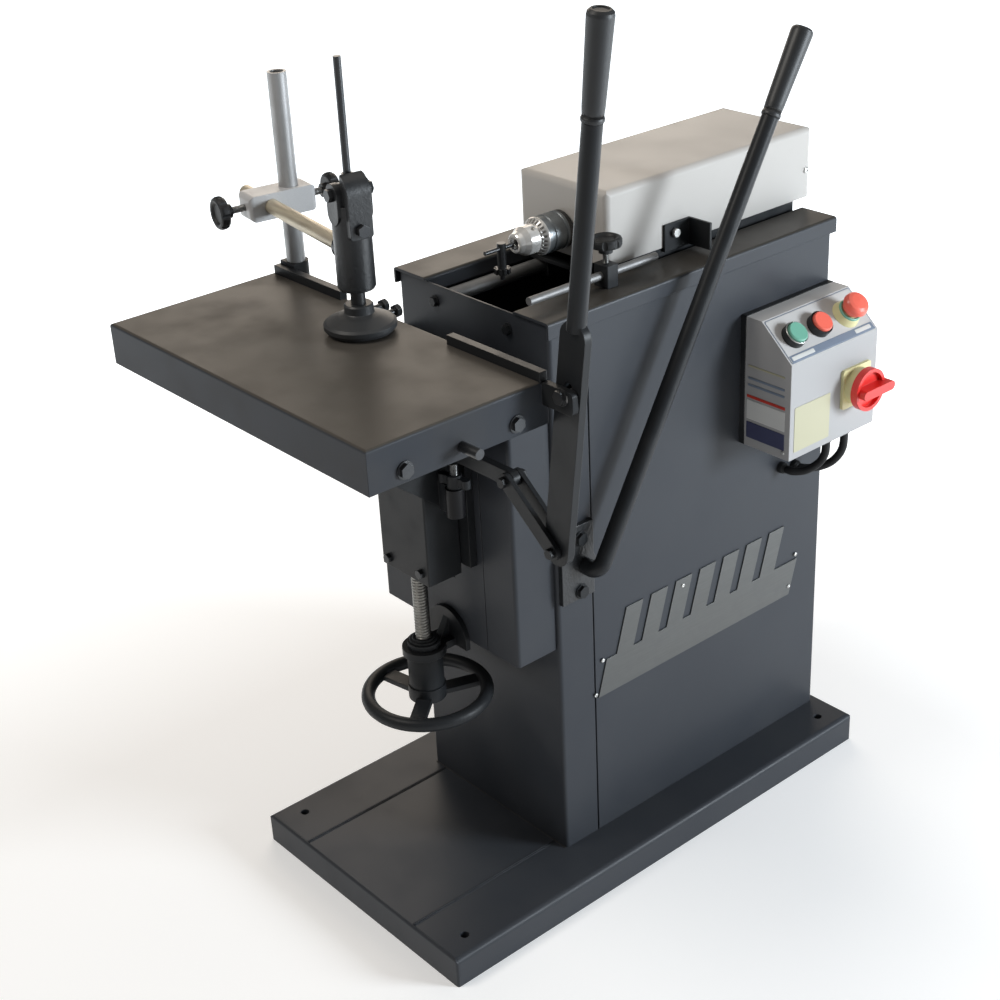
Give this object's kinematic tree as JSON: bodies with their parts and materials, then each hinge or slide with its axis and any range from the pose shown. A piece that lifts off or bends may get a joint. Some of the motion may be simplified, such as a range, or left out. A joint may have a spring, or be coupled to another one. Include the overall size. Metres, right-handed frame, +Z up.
{
  "type": "horizontal boring machine",
  "caption": "Floor-standing horizontal boring machine: lever-fed motor head with keyed chuck over a sheet-metal column, lever-moved lifting table with handwheel and a hold-down clamp.",
  "frame": {"origin": "centre of the base on the floor", "axes": "+Z up, +X to the operator's lever side, +Y from the table towards the motor end"},
  "size_m": [0.7601, 1.029, 1.4069],
  "materials": {
    "frame_paint": "satin dark grey paint",
    "machine_paint": "semi-gloss near-black paint",
    "table_paint": "worn satin dark grey",
    "ground_steel": "ground",
    "blackened_steel": "blackened",
    "cast_black": "painted black",
    "bronze": "turned",
    "light_paint": "satin light grey",
    "grey_casting": "satin",
    "motor_alloy": "painted",
    "post_steel": "satin",
    "yellow_zinc": "yellow zinc",
    "bright_steel": "polished",
    "black_plastic": "moulded",
    "cable_rubber": "matte",
    "yellow_plastic": "gloss",
    "green_plastic": "gloss",
    "red_plastic": "gloss",
    "plate_metal": "brushed"
  },
  "bodies": {
    "frame": {"base_channels": "frame_paint", "base_plates": "frame_paint", "column_front": "frame_paint", "column_shell": "frame_paint", "top_rails": "frame_paint", "guide_rods": "ground_steel", "mast": "frame_paint", "screw_bracket": "machine_paint", "lever_bracket": "machine_paint", "shaft_bushes": "bronze", "frame_bolts": "blackened_steel", "stop_block": "machine_paint", "control_box": "light_paint", "button_collars": "black_plastic", "switch_plates": "yellow_plastic", "control_cables": "cable_rubber", "name_plate": "plate_metal"},
    "knee": {"knee_frame": "machine_paint", "knee_box": "machine_paint", "saddle_blocks": "cast_black", "lift_screw": "ground_steel", "link_arm": "machine_paint"},
    "wing_nut": {"lock_wing_nut": "cast_black"},
    "wheel": {"handwheel": "cast_black", "lift_nut": "cast_black"},
    "table": {"table_top": "table_paint", "table_rods": "ground_steel", "table_bolts": "blackened_steel", "fence_bars": "machine_paint", "clamp_post": "post_steel"},
    "cross_block": {"clamp_block": "grey_casting"},
    "bar_lock": {"bar_knob": "black_plastic"},
    "post_lock": {"post_knob": "black_plastic"},
    "clamp_arm": {"clamp_bar": "yellow_zinc", "clamp_sleeve": "cast_black", "clamp_pins": "blackened_steel"},
    "clamp_handle": {"clamp_lever": "cast_black"},
    "plunger": {"clamp_plunger": "blackened_steel", "clamp_foot": "black_plastic"},
    "link": {"link_plates": "machine_paint"},
    "table_handle": {"table_lever": "machine_paint", "table_lever_grip": "black_plastic"},
    "feed_handle": {"feed_lever": "machine_paint", "feed_lever_grip": "black_plastic", "feed_arm": "blackened_steel"},
    "head": {"carriage": "blackened_steel", "drive_motor": "motor_alloy", "motor_cover": "light_paint", "stop_angle": "machine_paint"},
    "depth_rod": {"stop_rod": "ground_steel"},
    "depth_lock": {"stop_knob": "black_plastic"},
    "rotor": {"spindle": "ground_steel", "chuck_body": "bright_steel", "chuck_ring": "blackened_steel", "chuck_jaws": "ground_steel", "chuck_key": "blackened_steel"},
    "start": {"start_button": "green_plastic"},
    "stop": {"stop_button": "red_plastic"},
    "emergency": {"emergency_button": "red_plastic"},
    "main_switch": {"switch_knob": "red_plastic"}
  },
  "joints": [
    {"name": "wheel_turn", "type": "hinge", "parent": "frame", "child": "wheel", "pos_m": [0, -0.28366, 0.324], "axis": [0, 0, 1], "range_deg": [-5760, 2880]},
    {"name": "knee_lift", "type": "slide", "parent": "frame", "child": "knee", "axis": [0, 0, 1], "range_m": [-0.0801, 0.0401]},
    {"name": "wing_nut_turn", "type": "hinge", "parent": "knee", "child": "wing_nut", "pos_m": [0.092, -0.2776, 0.7104], "axis": [0, 0, 1], "range_deg": [-180, 180]},
    {"name": "table_slide", "type": "slide", "parent": "knee", "child": "table", "axis": [1, 0, 0], "range_m": [-0.06, 0.06]},
    {"name": "link_swing", "type": "hinge", "parent": "knee", "child": "link", "pos_m": [0.21, -0.2715, 0.763], "axis": [0, 1, 0], "range_deg": [-4.3, 4.3]},
    {"name": "table_lever_swing", "type": "hinge", "parent": "link", "child": "table_handle", "pos_m": [0.3, -0.2715, 0.69], "axis": [0, 1, 0], "range_deg": [-17.5, 17.5]},
    {"name": "clamp_height", "type": "slide", "parent": "table", "child": "cross_block", "axis": [0, 0, 1], "range_m": [0, 0.12]},
    {"name": "bar_lock_turn", "type": "hinge", "parent": "cross_block", "child": "bar_lock", "pos_m": [-0.2853, -0.35151, 1.048], "axis": [0.1478, 0.989, 0], "range_deg": [-180, 180]},
    {"name": "post_lock_turn", "type": "hinge", "parent": "cross_block", "child": "post_lock", "pos_m": [-0.26461, -0.21305, 1.048], "axis": [0.1478, 0.989, 0], "range_deg": [-180, 180]},
    {"name": "clamp_reach", "type": "slide", "parent": "cross_block", "child": "clamp_arm", "axis": [0.989, -0.1478, 0], "range_m": [-0.075, 0.015]},
    {"name": "clamp_lever_swing", "type": "hinge", "parent": "clamp_arm", "child": "clamp_handle", "pos_m": [-0.01157, -0.33984, 1.13], "axis": [-0.1478, -0.989, 0], "range_deg": [0, 60]},
    {"name": "plunger_lift", "type": "slide", "parent": "clamp_arm", "child": "plunger", "axis": [0, 0, 1], "range_m": [0, 0.006]},
    {"name": "carriage_feed", "type": "slide", "parent": "frame", "child": "head", "axis": [0, -1, 0], "range_m": [0, 0.09]},
    {"name": "feed_lever_swing", "type": "hinge", "parent": "frame", "child": "feed_handle", "pos_m": [0, -0.1085, 0.548], "axis": [1, 0, 0], "range_deg": [-0.1, 14.4]},
    {"name": "spindle_turn", "type": "hinge", "parent": "head", "child": "rotor", "pos_m": [0, -0.0065, 0.99], "axis": [0, 1, 0], "continuous": true},
    {"name": "stop_rod_slide", "type": "slide", "parent": "frame", "child": "depth_rod", "axis": [0, -1, 0], "range_m": [0, 0.06]},
    {"name": "stop_knob_turn", "type": "hinge", "parent": "frame", "child": "depth_lock", "pos_m": [0.12, -0.0055, 1.009], "axis": [0, 0, 1], "range_deg": [-180, 180]},
    {"name": "start_press", "type": "slide", "parent": "frame", "child": "start", "axis": [-0.669, 0, -0.7433], "range_m": [0, 0.004], "stiffness_N_per_m": 400},
    {"name": "stop_press", "type": "slide", "parent": "frame", "child": "stop", "axis": [-0.669, 0, -0.7433], "range_m": [0, 0.004], "stiffness_N_per_m": 400},
    {"name": "emergency_press", "type": "slide", "parent": "frame", "child": "emergency", "axis": [-0.669, 0, -0.7433], "range_m": [0, 0.005], "stiffness_N_per_m": 600},
    {"name": "main_switch_turn", "type": "hinge", "parent": "frame", "child": "main_switch", "pos_m": [0.284, 0.3795, 0.707], "axis": [1, 0, 0], "range_deg": [0, 90]}
  ],
  "couplings": [
    {"joint": "knee_lift", "follows": "wheel_turn", "m_per_rad": 0.00079577},
    {"joint": "link_swing", "follows": "table_slide", "rad_per_m": -1.201},
    {"joint": "table_lever_swing", "follows": "table_slide", "rad_per_m": 5.012},
    {"joint": "feed_lever_swing", "follows": "carriage_feed", "rad_per_m": 2.777},
    {"joint": "plunger_lift", "follows": "clamp_lever_swing", "m_per_rad": 0.005634}
  ]
}
